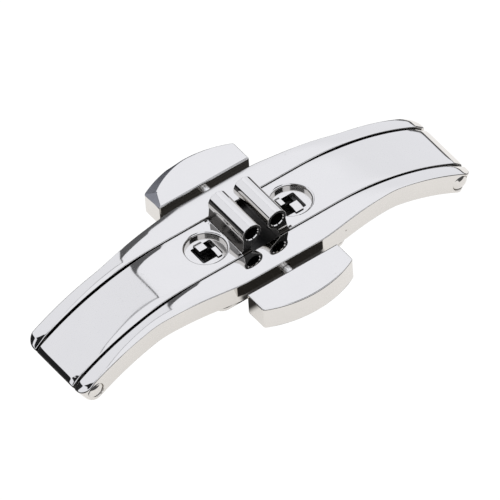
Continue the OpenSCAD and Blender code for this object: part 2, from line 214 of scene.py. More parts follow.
# painted shade: a darker, streaky copy for the webs under the tubes and the leaf's rim
neckShadeLook = dict(
    groundLook, tint=(0.08, 0.071, 0.062), darkTint=(0.024, 0.022, 0.02), roughness=0.2,
    cloudScale=1300, hairScale=5000, hairStretch=(1, 0.04, 1))
stemFinish = dict(
    mirrorLook, tint=(0.85, 0.835, 0.81), darkTint=(0.75, 0.74, 0.72), roughness=0.42,
    hairStretch=(1, 0.03, 1))
facetLook = dict(
    groundLook, tint=(0.26, 0.26, 0.275), darkTint=(0.17, 0.17, 0.18), roughness=0.3,
    hairStretch=(1, 0.05, 1))

framePolish = steel("framePolish", mirrorLook)
leafPolish = steel("leafPolish", dict(mirrorLook, cloudScale=500, speckShare=0.006))
buttonPolish = steel("buttonPolish", dict(mirrorLook, cloudScale=600, speckScale=1900))
catchSteel = steel("catchSteel", dict(mirrorLook, roughness=0.12, hairShare=0.8, cloudScale=900))
pinSteel = steel("pinSteel", dict(mirrorLook, roughness=0.07, hairShare=0.6))
stemSteel = steel("stemSteel", stemFinish)
facetSteel = steel("facetSteel", facetLook)
slideSteel = steel("slideSteel", dict(mirrorLook, roughness=0.1, hairShare=0.7))
springSteel = steel("springSteel", groundLook)
screwSteel = steel("screwSteel", dict(groundLook, roughness=0.16))
coverSteel = steel("coverSteel", dict(mirrorLook, hairStretch=(0.02, 1, 1), hairShare=0.7))
paintedShadeSteel = steel("paintedShadeSteel", paintedShadeLook)
neckPaintedShade = steel("neckPaintedShade", neckShadeLook)
print("finishes made:", len(bpy.data.materials))


# Mesh making in millimetres, with the flat top at height 0. Depths count down from it

meshLook = dict(weld=1e-6, copyWeld=1e-4, leastRadius=1e-4, overshoot=0.001, faceWeight=90)


def newPiece(name, verts, faces):
    mesh = bpy.data.meshes.new(name)
    mesh.from_pydata([tuple(v) for v in verts], [], faces)
    model = bmesh.new()
    model.from_mesh(mesh)
    bmesh.ops.remove_doubles(model, verts=model.verts, dist=meshLook["weld"])
    bmesh.ops.recalc_face_normals(model, faces=model.faces)
    model.to_mesh(mesh)
    model.free()
    piece = bpy.data.objects.new(name, mesh)
    scene.collection.objects.link(piece)
    return piece


def loft(name, rings):
    # skins a row of closed rings and caps both ends
    count = len(rings[0])
    verts = [point for ring in rings for point in ring]
    faces = [list(range(count))[::-1], [len(verts) - count + k for k in range(count)]]
    for row in range(len(rings) - 1):
        for k in range(count):
            here, ahead = row * count + k, row * count + (k + 1) % count
            faces.append([here, ahead, ahead + count, here + count])
    return newPiece(name, verts, faces)


def prism(name, outline, low, high):
    # raises an outline, given as (x, y) points, from depth low to depth high
    return loft(name, [[(x, y, -depth) for x, y in outline] for depth in (low, high)])


def block(name, x, y, depth):
    corners = [(x[0], y[0]), (x[1], y[0]), (x[1], y[1]), (x[0], y[1])]
    return prism(name, corners, *depth)


def turned(name, profile, centre, across=False, steps=96):
    # turns a profile about a vertical line, with points (radius, depth), or about one that
    # runs across the clasp, with points (radius, y)
    rings = []
    for radius, along in profile:
        wide = max(radius, meshLook["leastRadius"])
        ring = []
        for k in range(steps):
            angle = math.tau * k / steps
            first, second = centre[0] + wide * math.cos(angle), centre[1] + wide * math.sin(angle)
            ring.append((first, along, second) if across else (first, second, -along))
        rings.append(ring)
    return loft(name, rings)


def bothWays(half):
    # a profile that runs out from the middle plane, with its mirror image put before it
    return [(radius, -along) for radius, along in half[::-1] if along] + half


def arc(x, y, radius, start, end, steps):
    angles = [math.radians(start + (end - start) * k / steps) for k in range(steps + 1)]
    return [(x + radius * math.cos(a), y + radius * math.sin(a)) for a in angles]


def bake(piece):
    # turns the modifiers into plain mesh
    bpy.context.view_layer.update()
    graph = bpy.context.evaluated_depsgraph_get()
    solid = bpy.data.meshes.new_from_object(piece.evaluated_get(graph), depsgraph=graph)
    piece.modifiers.clear()
    piece.data = solid
    return piece


def combine(piece, tools, operation="DIFFERENCE"):
    # cuts with, or joins, each tool, then takes the tools away
    for tool in tools:
        modifier = piece.modifiers.new("combine", "BOOLEAN")
        modifier.operation = operation
        modifier.solver = "EXACT"
        modifier.object = tool
    bake(piece)
    for tool in tools:
        bpy.data.objects.remove(tool)
    return piece


def soften(piece, width, segments=2, angle=35):
    # bevels the edges that are sharper than the angle
    modifier = piece.modifiers.new("soften", "BEVEL")
    modifier.width = width
    modifier.segments = segments
    modifier.limit_method = "ANGLE"
    modifier.angle_limit = math.radians(angle)
    modifier.miter_outer = "MITER_ARC"
    return bake(piece)


def facing(piece, side):
    # pieces are drawn as the right or rear one, and turned round for their left and front twins
    if side in ("left", "front"):
        piece.data.transform(Matrix.Rotation(math.pi, 4, "Z"))
    return piece


def settle(piece, name, body, finish, nodes, sharp=35):
    # smooth shading, place in metres, finish and the body it rides on
    piece.name = name
    piece.data.name = name
    piece.data.materials.clear()
    piece.data.materials.append(finish)
    piece.data.shade_smooth()
    piece.data.set_sharp_from_angle(angle=math.radians(sharp))
    modifier = piece.modifiers.new("evenShade", "WEIGHTED_NORMAL")
    modifier.keep_sharp = True
    modifier.weight = meshLook["faceWeight"]
    bake(piece)
    piece.data.transform(Matrix.Translation((0, 0, flatTop)))
    piece.data.transform(Matrix.Scale(millimetre, 4))
    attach(piece, body)
    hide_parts(*nodes)
    return piece


def paintShadeOrFinish(piece, finish, chosen):
    # gives a second material to the faces that the test picks, by place from the flat top and by normal:
    # painted shade, or on the button's facet its ground finish
    piece.data.materials.append(finish)
    for face in piece.data.polygons:
        spot = face.center / millimetre - Vector((0, 0, flatTop))
        if chosen(spot, face.normal):
            face.material_index = len(piece.data.materials) - 1


# The bend that frame and leaves share: flat in the middle, an arc, then a straight nose.
# The nose stations are distances back from its end, where facet and roundings need a ring

clasp = dict(
    flatHalf=7.2, topRadius=25.0, hingeReach=19.5, noseLength=1.4, railDepth=2.1, hingeSet=1.2,
    facetSweep=1.0, tipRound=0.14, endRound=0.06, flareStart=7, flareLength=5,
    topSteps=4, lowSteps=3, stationStep=0.35, noseStations=(
        2.6, 2.48, 2.35, 2.2, 2.05, 1.9, 1.76, 1.64, 1.52, 1.3, 1.21, 1.13, 1.06, 1.0, 0.95, 0.91,
        0.87, 0.83, 0.79, 0.75, 0.71, 0.67, 0.63, 0.59, 0.54, 0.47, 0.4, 0.33, 0.26, 0.2, 0.15,
        0.11, 0.08, 0.05, 0.03, 0.015, 0.005, 0))


def findArcAngle():
    # the turn at which the nose's hinge lies at its reach from the middle
    middle = clasp["topRadius"] - clasp["railDepth"] / 2
    back = clasp["noseLength"] - clasp["hingeSet"]
    lean = math.atan2(back, middle)
    return math.asin((clasp["hingeReach"] - clasp["flatHalf"]) / math.hypot(middle, back)) - lean


clasp["arcAngle"] = findArcAngle()
arcEnd = clasp["flatHalf"] + clasp["topRadius"] * clasp["arcAngle"]
noseEnd = arcEnd + clasp["noseLength"]
hingeAlong = noseEnd - clasp["hingeSet"]


def bent(along, depth):
    # where a point of the flat stock lies once it is bent, as (x, z)
    turn = min(max(along - clasp["flatHalf"], 0) / clasp["topRadius"], clasp["arcAngle"])
    rest = max(along - arcEnd, 0)
    radius = clasp["topRadius"] - depth
    return (min(along, clasp["flatHalf"]) + radius * math.sin(turn) + rest * math.cos(turn),
            radius * math.cos(turn) - clasp["topRadius"] - rest * math.sin(turn))


hingeX, hingeZ = bent(hingeAlong, clasp["railDepth"] / 2)

bendGroup, bench, given = newGroup("bendRoundWrist", [
    ("Stock", "Geometry"), ("Flat Half", "Float"), ("Top Radius", "Float"),
    ("Arc Angle", "Float"), ("Finish", "Material")])
spot = bench.add("ShaderNodeSeparateXYZ", None, {0: bench.add("GeometryNodeInputPosition")})
reach = spot.step("ABSOLUTE")
past = (reach - given["Flat Half"]).step("MAXIMUM", 0.0)
turn = (past / given["Top Radius"]).step("MINIMUM", given["Arc Angle"])
rest = past - turn * given["Top Radius"]
radius = given["Top Radius"] + spot.other("Z")
newX = reach.step("MINIMUM", given["Flat Half"]) + radius * turn.step("SINE") + rest * turn.step("COSINE")
newZ = radius * turn.step("COSINE") - given["Top Radius"] - rest * turn.step("SINE")
moved = bench.add("ShaderNodeCombineXYZ", None, {
    "X": newX * spot.step("SIGN"), "Y": spot.other("Y"), "Z": newZ})
shaped = bench.add("GeometryNodeSetPosition", None, {"Geometry": given["Stock"], "Position": moved})
endGroup(bench, shaped, given["Finish"])


def bendPiece(piece, finish):
    runGroup(piece, bendGroup, {
        "Flat Half": clasp["flatHalf"], "Top Radius": clasp["topRadius"],
        "Arc Angle": clasp["arcAngle"], "Finish": finish})
    return bake(piece)


def noseTop(back, swept, nose):
    # depth of the top at a distance back from the nose's end: a facet with rounded ends.
    # Where swept rises to 1 at one edge of a strip, the facet's inner line curves away from the end
    run, lip = nose["facet"] + clasp["facetSweep"] * swept ** 2, nose["lip"]
    slope = math.tan(nose["tilt"]) * nose["facet"] / run
    if back > run + lip:
        return 0
    if back > run - lip:
        return slope * (run + lip - back) ** 2 / (4 * lip)
    drop = slope * (run - back)
    if back < lip:
        drop += clasp["tipRound"] * (1 - math.sqrt(max(1 - (1 - back / lip) ** 2, 0)))
    return drop


def noseBottom(back, radius):
    # depth of the underside, with its round end
    if back > radius:
        return clasp["railDepth"]
    return clasp["railDepth"] - radius + math.sqrt(radius ** 2 - (radius - back) ** 2)


def rounded(back, radius):
    # how far a corner of this radius draws in at a distance back from the end
    return radius - math.sqrt(radius ** 2 - (radius - back) ** 2) if back < radius else 0


def stations(start):
    # places along the flat stock, from start to the nose's end
    count = math.ceil((arcEnd - start) / clasp["stationStep"])
    even = [start + (arcEnd - start) * k / count for k in range(count + 1)]
    return sorted(even + [noseEnd - back for back in clasp["noseStations"]])


def grooveShare(along):
    # the groove beside the leaves widens from the middle (0) to the arms (1)
    share = min(max((abs(along) - clasp["flareStart"]) / clasp["flareLength"], 0), 1)
    return share * share * (3 - 2 * share)


def barRing(along, inner, outer, bottom, look, nose):
    # one ring round a bar: inner wall, crowned top, outer wall, bottom
    edge, low, tilt = look["topEdge"], look["bottomEdge"], math.radians(look["edgeTilt"])
    half = (outer - inner) / 2 - edge * (1 - math.sin(tilt))
    middle, down = (outer + inner) / 2, edge * math.cos(tilt)
    innerSink, outerSink = (math.tan(tilt) * half / look[key] for key in ("innerPower", "outerPower"))
    top = arc(inner + edge, innerSink + down, edge, 180, 270 - look["edgeTilt"], clasp["topSteps"])
    for k in range(1, look["crownSteps"]):
        share = 2 * k / look["crownSteps"] - 1
        if share > 0:
            sink = outerSink * share ** look["outerPower"]
        else:
            sink = innerSink * (-share) ** look["innerPower"]
        top.append((middle + half * share, sink))
    top += arc(outer - edge, outerSink + down, edge, 270 + look["edgeTilt"], 360, clasp["topSteps"])
    back, width = noseEnd - abs(along), min(look["sweepWidth"], outer - inner)
    ring = []
    for y, depth in top:  # the facet sweeps back at the rear edge on the right, else at the front edge
        gap = outer - y if along > 0 else y - inner
        ring.append((y, depth + noseTop(back, min(max(1 - gap / width, 0), 1), nose)))
    ring += arc(outer - low, bottom - low, low, 0, 90, clasp["lowSteps"])
    ring += arc(inner + low, bottom - low, low, 90, 180, clasp["lowSteps"])
    return [(along, y, -depth) for y, depth in ring]


# The frame: two rails that taper from the buttons to the arms, and the bridge between them

frameLook = dict(
    slotHalf=2.83, slotFlare=0.07, armHalf=4.25, centreHalf=5.5, wideHalf=4.4, taperEnd=12.8,
    taperRadius=12, cornerRound=1.1, noseRound=0.35, topEdge=0.12, bottomEdge=0.1, edgeTilt=7,
    innerPower=4, outerPower=2, sweepWidth=0.65, crownSteps=16,
    bridgeHalf=6.95, bridgeTop=0.95, bridgeLap=0.3, bridgeRise=0.02, shadeDepth=0.45, shadeReach=0.1,
    leftNose=dict(facet=0.9, tilt=math.radians(17), lip=0.14),
    rightNose=dict(facet=1.35, tilt=math.radians(10), lip=0.2))
frameRooms = dict(  # boxes cut out for the slides, given as (from, to) in x, y and depth
    slideRoom=((-5.3, 5.3), (-1.95, 1.95), (1.2, 3)), hookSlot=((3.545, 5.15), (-1.28, 1.28), (0.5, 1.5)),
    neckRoom=((-0.95, 0.95), (1.9, 3.15), (1.2, 3)), lugRoom=((-0.95, 0.95), (3.05, 4.45), (0.45, 3)))
frameHoles = dict(
    stem=((0.45, 3.7), (0.45, 5.42), (0.56, 5.6)), stemDepth=1.1,
    screw=((0.36, 1.0), (0.36, 3)), screwX=5.75, screwY=4,
    pin=((0.51, -5), (0.51, 5)), headSeat=((0.77, 3.75), (0.77, 4.18), (0.83, 4.27)))


def railOutside(along):
    # half width of the frame, with round bends at both ends of the taper
    look, x = frameLook, bent(along, 0)[0]
    centre, arm, bend = look["centreHalf"], look["armHalf"], look["taperRadius"]
    slope = math.atan2(centre - arm, look["taperEnd"] - look["wideHalf"])
    reach, wide = bend * math.tan(slope / 2), bend * math.sin(slope)
    start, end = look["wideHalf"] - reach, look["taperEnd"] + reach
    if x < start:
        return centre
    if x < start + wide:
        return centre - rounded(bend - (x - start), bend)
    if x > end:
        return arm
    if x > end - wide:
        return arm + rounded(bend - (end - x), bend)
    return arm + (look["taperEnd"] - x) * math.tan(slope)


def railRing(along, nose):
    look = frameLook
    back = noseEnd - abs(along)
    outer = railOutside(abs(along)) - rounded(back, look["cornerRound"])
    inner = look["slotHalf"] + look["slotFlare"] * grooveShare(along) + rounded(back, clasp["endRound"])
    return barRing(along, inner, outer, noseBottom(back, look["noseRound"]), look, nose)


def makeRail(name, leftNose, rightNose):
    half = stations(0)
    spots = [-along for along in half[:0:-1]] + half
    return loft(name, [railRing(along, frameLook[rightNose if along > 0 else leftNose]) for along in spots])


def frameCutters():
    # the cutters that work on the flat stock
    holes = frameHoles
    cutters = [block("slideRoom", *frameRooms["slideRoom"])]
    for side in ("rear", "front"):
        made = [block(name, *frameRooms[name]) for name in ("hookSlot", "neckRoom", "lugRoom")]
        made.append(turned("stemHole", holes["stem"], (0, -holes["stemDepth"]), True, 48))
        made += [turned("screwHole", holes["screw"], (x, holes["screwY"]), steps=32)
                 for x in (-holes["screwX"], holes["screwX"])]
        cutters += [facing(tool, side) for tool in made]
    return cutters


def pinDrills():
    # hinge holes and seats for the pins' heads, in the bent frame
    drills = []
    for side in (1, -1):
        centre = (side * hingeX, hingeZ)
        drills.append(turned("pinHole", frameHoles["pin"], centre, True, 64))
        for way in (1, -1):
            seat = [(radius, way * along) for radius, along in frameHoles["headSeat"]]
            drills.append(turned("headSeat", seat, centre, True, 64))
    return drills


def makeFrame():
    look = frameLook
    body = makeRail("rearRail", "leftNose", "rightNose")
    front = facing(makeRail("frontRail", "rightNose", "leftNose"), "front")
    wide = look["slotHalf"] + look["bridgeLap"]
    bridge = block("bridge", (-look["bridgeHalf"], look["bridgeHalf"]), (-wide, wide),
                   (look["bridgeTop"], clasp["railDepth"] - look["bridgeRise"]))
    combine(body, [front, bridge], "UNION")
    combine(body, frameCutters())
    bendPiece(body, framePolish)
    combine(body, pinDrills())
    settle(body, "polished_frame", "frame", framePolish, ["frame"])

    def inBridge(spot, normal):
        # painted shade: the bridge with its pockets, between the rails
        return (spot.z < -look["shadeDepth"] and abs(spot.y) < look["slotHalf"]
                and abs(spot.x) < look["bridgeHalf"] + look["shadeReach"])

    paintShadeOrFinish(body, paintedShadeSteel, inBridge)
    return body


polishedFrame = makeFrame()
print("frame made:", len(polishedFrame.data.polygons), "faces")


# The leaves: a curved strip with a knuckle, a round recess, and a strap tube on its free end

leafLook = dict(
    freeEnd=1.5, halfWidth=2.73, sideTaper=0.09, middleDepth=0.9, armDepth=1.6, stepAt=7.05,
    stepWidth=0.012, knuckle=1.05, noseRound=0.9, topEdge=0.12, bottomEdge=0.08, edgeTilt=7,
    innerPower=8, outerPower=8, sweepWidth=0.4, crownSteps=24, pinHole=((0.55, -3), (0.55, 3)),
    leftNose=dict(facet=0.6, tilt=math.radians(20), lip=0.13),
    rightNose=dict(facet=1.15, tilt=math.radians(13), lip=0.2))
leafSteps = dict(  # where the strip's rings lie, from its free end or back from its hinge
    endGaps=(0, 0.01, 0.03, 0.06), middleStart=0.3, middleStep=0.34, middleCount=16,
    knuckleGaps=(0.893, 0.86, 0.8, 0.7, 0.58, 0.44, 0.3, 0.15, 0), armGap=0.96, noseGap=0.02)
tubeLook = dict(
    x=1.35, z=1.75, radius=0.98, bore=0.65, lip=0.07, half=2.55, edge=0.07, steps=64, root=0.5,
    webGap=0.01, webRise=0.3, webDip=20, footX=2.42, footRound=0.16, footSink=0.03, footPower=1.4,
    footShares=(0.15, 0.4, 0.7, 0.92))
recessLook = dict(x=4.55, radius=1.83, roll=0.28, depth=0.55, seat=0.12, overRoll=0.02, above=0.6, below=1.3)
leafShade = dict(
    gap=0.01, sideGap=0.02, sideNormal=0.9, webFoot=0.05, webNormal=0.5, rimDepth=0.12, rimGap=0.05,
    rimReach=0.2)


def leafBottom(along):
    # depth of the underside: thin in the middle, then the arm, the knuckle and the nose
    look = leafLook
    if along <= look["stepAt"]:
        return look["middleDepth"]
    if along >= hingeAlong:
        return noseBottom(noseEnd - along, look["noseRound"])
    reach = look["knuckle"] ** 2 - (hingeAlong - along) ** 2
    return max(look["armDepth"], clasp["railDepth"] / 2 + math.sqrt(max(reach, 0)))


def leafRing(along, nose):
    look, end = leafLook, clasp["endRound"]
    side = look["halfWidth"] - look["sideTaper"] * grooveShare(along)
    side -= rounded(noseEnd - along, end) + rounded(along - look["freeEnd"], end)
    return barRing(along, -side, side, leafBottom(along), look, nose)


def leafSpots():
    # ring places: close at the free end, at the step in depth, round the knuckle and at the nose
    start, step, look = leafLook["freeEnd"], leafLook["stepAt"], leafSteps
    spots = [start + gap for gap in look["endGaps"]]
    spots += [start + look["middleStart"] + look["middleStep"] * k for k in range(look["middleCount"])]
    spots.append(step + leafLook["stepWidth"])
    spots += [along for along in stations(step)
              if along < hingeAlong - look["armGap"] or along > hingeAlong + look["noseGap"]]
    spots += [hingeAlong - gap for gap in look["knuckleGaps"]]
    return sorted(spots)


def tubeOutline():
    # side view of the web and its tube: up the inner face, over the tube, down to the foot
    look = tubeLook
    innerX, x, z, rise = leafLook["freeEnd"] + look["webGap"], look["x"], look["z"], look["webRise"]
    gap = math.hypot(x - innerX, z - rise)
    lean = math.atan2(z - rise, x - innerX) + math.asin(look["radius"] / gap)
    outline = [(innerX, -look["root"]), (innerX, rise)]
    outline += arc(x, z, look["radius"], math.degrees(lean) + 90, -look["webDip"], look["steps"])
    foot, rounding = look["footX"], look["footRound"]
    dipX, dipZ = outline[-1]
    for share in look["footShares"]:  # the face runs down to the foot and flares a little
        outline.append((dipX + (foot - dipX) * share ** look["footPower"], dipZ + (rounding - dipZ) * share))
    outline += arc(foot + rounding, rounding - look["footSink"], rounding, 180, 270, 6)
    outline += [(foot + rounding, -look["root"])]
    return outline


def makeTube():
    # the strap tube on its web, with a bore that opens in a lip at both ends
    look, end = tubeLook, tubeLook["half"]
    tube = prism("tube", tubeOutline(), -end, end)
    tube.data.transform(Matrix.Rotation(math.pi / 2, 4, "X"))
    soften(tube, look["edge"], 3, 50)
    wide = look["bore"] + look["lip"]
    bore = [(look["bore"], end - look["lip"]), (wide, end + meshLook["overshoot"]), (wide, end + 1)]
    return combine(tube, [turned("bore", bothWays(bore), (look["x"], look["z"]), True, look["steps"])])


def recessCutter():
    # the round recess with its rolled edge, and the catch plate's seat below it
    look, axis = recessLook, meshLook["overshoot"]
    radius, roll, depth, below = (look[key] for key in ("radius", "roll", "depth", "below"))
    wide, seat = radius + roll, radius + look["seat"]
    profile = [(axis, -look["above"]), (wide + look["overRoll"], -look["above"])]
    profile += arc(wide, roll, roll, 270, 180, 6)
    profile += [(radius, depth), (seat, depth), (seat, below), (axis, below)]
    return turned("recess", profile, (look["x"], 0), steps=128)


def makeLeaf(side):
    look, tube, shade = leafLook, tubeLook, leafShade
    leaf = loft("leaf", [leafRing(along, look[side + "Nose"]) for along in leafSpots()])
    combine(leaf, [makeTube()], "UNION")
    combine(leaf, [recessCutter()])
    bendPiece(leaf, leafPolish)
    combine(leaf, [turned("pinHole", look["pinHole"], (hingeX, hingeZ), True, 64)])
    facing(leaf, side)
    settle(leaf, side + "_leaf_arm", side + "_leaf", leafPolish, [side + "_leaf"])

    def away(spot):
        # distance from the tube's axis
        return math.hypot(abs(spot.x) - tube["x"], spot.z - tube["z"])

    def unlit(spot, normal):
        # painted shade: the bore, and the strip's sides
        strip = abs(normal.y) > shade["sideNormal"]
        strip = strip and abs(spot.y) > look["halfWidth"] - look["sideTaper"] - shade["sideGap"]
        return strip or away(spot) < tube["bore"] + shade["gap"]

    def shaded(spot, normal):
        # painted shade: the web between tube and leaf, and the leaf's rim beyond the tube's ends
        web = shade["webFoot"] < spot.z < tube["z"] and abs(normal.y) < shade["webNormal"]
        web = web and away(spot) > tube["radius"] + shade["gap"]
        rim = abs(spot.z) < shade["rimDepth"] and abs(spot.y) > tube["half"] - shade["rimGap"]
        return web or (rim and abs(spot.x) < tube["footX"] + shade["rimReach"])

    paintShadeOrFinish(leaf, paintedShadeSteel, unlit)
    paintShadeOrFinish(leaf, neckPaintedShade, shaded)
    return leaf


leafArms = {side: makeLeaf(side) for side in ("left", "right")}
print("leaves made:", len(leafArms["left"].data.polygons), "faces each")


# Catch plates: thin discs in the recesses, with a window for the hooks

catchLook = dict(
    windowNear=3.4, windowFar=5.5, windowHalf=1, corner=0.14, radius=1.94, top=0.55, bottom=0.9,
    cutDepth=1.5, edge=0.03)


def makeCatch(side):
    look, corner = catchLook, catchLook["corner"]
    disc = turned("disc", [(look["radius"], look["top"]), (look["radius"], look["bottom"])],
                  (recessLook["x"], 0), steps=128)
    near, far, half = look["windowNear"] + corner, look["windowFar"] - corner, look["windowHalf"] - corner
    window = []
    for x, y, start in ((far, half, 0), (near, half, 90), (near, -half, 180), (far, -half, 270)):
        window += arc(x, y, corner, start, start + 90, 5)
    combine(disc, [prism("window", window, 0, look["cutDepth"])])
    soften(disc, look["edge"])
    facing(disc, side)
    settle(disc, side + "_catch_disc", side + "_leaf", catchSteel, [side + "_catch"])


for side in ("left", "right"):
    makeCatch(side)
print("catch plates made")


# Hinge pins with peened, slightly domed heads

pinLook = dict(
    radius=0.5, headRadius=0.75, headStart=3.76, headEnd=4.14, headRound=0.03, dome=0.2, domeSteps=10,
    domeGap=0.01)


def makePin(side):
    look = pinLook
    rod, head, start, end = (look[key] for key in ("radius", "headRadius", "headStart", "headEnd"))
    half = [(rod, 0.0), (rod, start), (head, start), (head, end - look["headRound"])]
    sphere = (head ** 2 + look["dome"] ** 2) / (2 * look["dome"])  # the dome's own radius
    for k in range(look["domeSteps"] + 1):
        out = (head - look["domeGap"]) * (1 - k / look["domeSteps"])
        half.append((out, end + look["dome"] - sphere + math.sqrt(sphere ** 2 - out ** 2)))
    pin = turned("pin", bothWays(half), (hingeX, hingeZ), True, 64)
    facing(pin, side)
    settle(pin, side + "_pin_rod", "frame", pinSteel, [side + "_hinge_pin"], sharp=50)


for side in ("left", "right"):
    makePin(side)
print("hinge pins made")


# Push buttons: a straight inner face, a curved outer face, and a polished edge all round.
# The far button's outer left corner has a broad hand-cut facet

buttonLook = dict(
    half=4.8, inner=6.45, depth=3.5, radius=10.4, corner=0.3, innerCorner=0.12, top=0.3, height=2.45,
    edge=0.16, edgeSteps=6, bottomEdge=0.25, sideStep=0.4, sideSteps=4,
    stemRadius=0.41, stemHole=(6, 7.6), stemDepth=1.1)
facetCut = dict(
    width=1.0, tilt=math.radians(14), blend=0.25, run=5.2, power=1.3, start=0.1, rise=1.9, side=0.32,
    end=1.5, depth=1.2, normalZ=(0.3, 0.995), normalY=-0.3)


def buttonCurve():
    # centre of the outer face's curve, centre of the outer right corner, and the direction between them
    look = buttonLook
    centreY = look["inner"] + look["depth"] - look["radius"]
    cornerX = look["half"] - look["corner"]
    cornerY = centreY + math.sqrt((look["radius"] - look["corner"]) ** 2 - cornerX ** 2)
    return centreY, cornerX, cornerY, math.atan2(cornerY - centreY, cornerX)


def buttonOutline():
    # the rear button from above, anticlockwise from its inner right corner
    look = buttonLook
    half, inner, inside = look["half"], look["inner"], look["innerCorner"]
    centreY, cornerX, cornerY, turn = buttonCurve()
    lean = math.degrees(turn)
    rows = [inner + k * look["sideStep"] for k in range(1, look["sideSteps"] + 1)]
    outline = arc(half - inside, inner + inside, inside, 270, 360, 4)
    outline += [(half, y) for y in rows]
    outline += arc(cornerX, cornerY, look["corner"], 0, lean, 6)
    outline += arc(0, centreY, look["radius"], lean, 180 - lean, 40)[1:-1]
    outline += arc(-cornerX, cornerY, look["corner"], 180 - lean, 180, 6)
    outline += [(-half, y) for y in rows[::-1]]
    outline += arc(inside - half, inner + inside, inside, 180, 270, 4)
    return outline


def inward(outline, k):
    # unit direction into the outline at point k
    before, after = Vector(outline[k - 1]), Vector(outline[(k + 1) % len(outline)])
    along = (after - before).normalized()
    return Vector((-along.y, along.x))


def facetShare(x, y):
    # 1 where the hand-cut facet is at its widest, 0 where there is none
    look, cut = buttonLook, facetCut
    if y <= look["inner"] + cut["start"]:
        return 0
    share = max(0, 1 - (x + look["half"]) / cut["run"]) ** cut["power"]
    if x < -look["half"] + cut["side"]:
        share *= min(1, (y - look["inner"]) / cut["rise"])
    return share


def makeButton(side):
    look, cut, steps = buttonLook, facetCut, buttonLook["edgeSteps"]
    outline = buttonOutline()
    ways = [inward(outline, k) for k in range(len(outline))]
    centreY, cornerX, cornerY, lean = buttonCurve()
    hub = Vector((-cornerX, cornerY))  # centre of the outer left corner
    inwards = Vector((math.cos(lean / 2), -math.sin(lean / 2)))
    shares = [facetShare(x, y) if side == "rear" else 0 for x, y in outline]

    def drawnIn(point, way, inset):
        # a point of the outline moved inwards. Past the corner's centre it stays on its own side
        start, spot = Vector(point) - hub, Vector(point) + way * inset
        crossed = inwards.cross(start) * inwards.cross(spot - hub) <= 0
        if side == "rear" and inset > look["corner"] and crossed:
            spot = hub + inwards * ((inset - look["corner"]) / math.cos(lean / 2))
        return spot

    rings = []
    for k in range(steps + 1):  # the upper edge, from the top face out to the side
        out, angle = k / steps, math.radians(90 * k / steps)
        ring = []
        for point, way, share in zip(outline, ways, shares):
            width = look["edge"] + (cut["width"] - look["edge"]) * share
            flat = min(max((width - look["edge"]) / cut["blend"], 0), 1)  # 0 is round, 1 is a flat facet
            inset = width * ((1 - math.sin(angle)) * (1 - flat) + (1 - out) * flat)
            sink = width * ((1 - math.cos(angle)) * (1 - flat) + math.tan(cut["tilt"]) * out * flat)
            spot = drawnIn(point, way, inset)
            ring.append((spot.x, spot.y, -look["top"] - sink))
        rings.append(ring)
    for k in range(steps + 1):  # the lower edge, from the side in to the underside
        angle = math.radians(90 * k / steps)
        inset, raised = (look["bottomEdge"] * (1 - part) for part in (math.cos(angle), math.sin(angle)))
        rings.append([(x + way.x * inset, y + way.y * inset, -look["top"] - look["height"] + raised)
                      for (x, y), way in zip(outline, ways)])
    button = loft("button", rings)
    hole = [(look["stemRadius"], y) for y in look["stemHole"]]
    combine(button, [turned("stemHole", hole, (0, -look["stemDepth"]), True, 48)])
    facing(button, side)
    settle(button, side + "_button_cap", side + "_button", buttonPolish,
           [side + "_button"], sharp=30)

    def onFacet(spot, normal):
        level = cut["normalZ"][0] < normal.z < cut["normalZ"][1] and normal.y > cut["normalY"]
        return level and spot.z > -cut["depth"] and spot.x < cut["end"]

    if side == "rear":
        paintShadeOrFinish(button, facetSteel, onFacet)


for side in ("front", "rear"):
    makeButton(side)
print("buttons made")


# Stems, slides, springs and their seat

stemLook = dict(radius=0.4, start=3.71, end=7.59, depth=1.1, chamfer=0.05)
slideLook = dict(edge=0.08, shadeDepth=0.85, shadeNormal=0.3)
seatLook = dict(edge=0.02)
coverLook = dict(edge=0.1, shadeNormal=(0.1, 0.97))


def makeStem(side):
    radius, start, end, cut = (stemLook[key] for key in ("radius", "start", "end", "chamfer"))
    profile = [(radius - cut, start), (radius, start + cut), (radius, end - cut), (radius - cut, end)]
    stem = turned("stem", profile, (0, -stemLook["depth"]), True, 48)
    facing(stem, side)
    settle(stem, side + "_push_stem", side + "_button", stemSteel, [side + "_stem"])


def softCopy(node, name, body, finish, width):
    # a merged copy of a CAD part with its edges softened
    piece = bpy.data.objects.new(name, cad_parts[node].data.copy())
    scene.collection.objects.link(piece)
    piece.data.transform(Matrix.Scale(1 / millimetre, 4))
    piece.data.transform(Matrix.Translation((0, 0, -flatTop)))
    model = bmesh.new()
    model.from_mesh(piece.data)
    bmesh.ops.remove_doubles(model, verts=model.verts, dist=meshLook["copyWeld"])
    bmesh.ops.dissolve_limit(model, angle_limit=math.radians(1), verts=model.verts, edges=model.edges)
    model.to_mesh(piece.data)
    model.free()
    soften(piece, width)
    return settle(piece, name, body, finish, [node])


def makeSlide(side):
    look = slideLook
    slide = softCopy(side + "_slide", side + "_hook_slide", side + "_button", slideSteel,
                     look["edge"])
    deep, level = -look["shadeDepth"], look["shadeNormal"]
    # painted shade: the slide's deep faces and those that face down, dark inside the window
    paintShadeOrFinish(slide, paintedShadeSteel, lambda spot, normal: spot.z < deep or normal.z < level)


def makeCover():
    low, high = coverLook["shadeNormal"]
    cover = softCopy("cover_plate", "base_cover", "frame", coverSteel, coverLook["edge"])
    paintShadeOrFinish(cover, paintedShadeSteel, lambda spot, normal: low < normal.z < high)  # painted shade: the dark line under the rails


for side in ("front", "rear"):
    makeStem(side)
    makeSlide(side)
softCopy("spring_seat", "spring_bar", "frame", slideSteel, seatLook["edge"])
makeCover()
print("stems, slides and cover made")

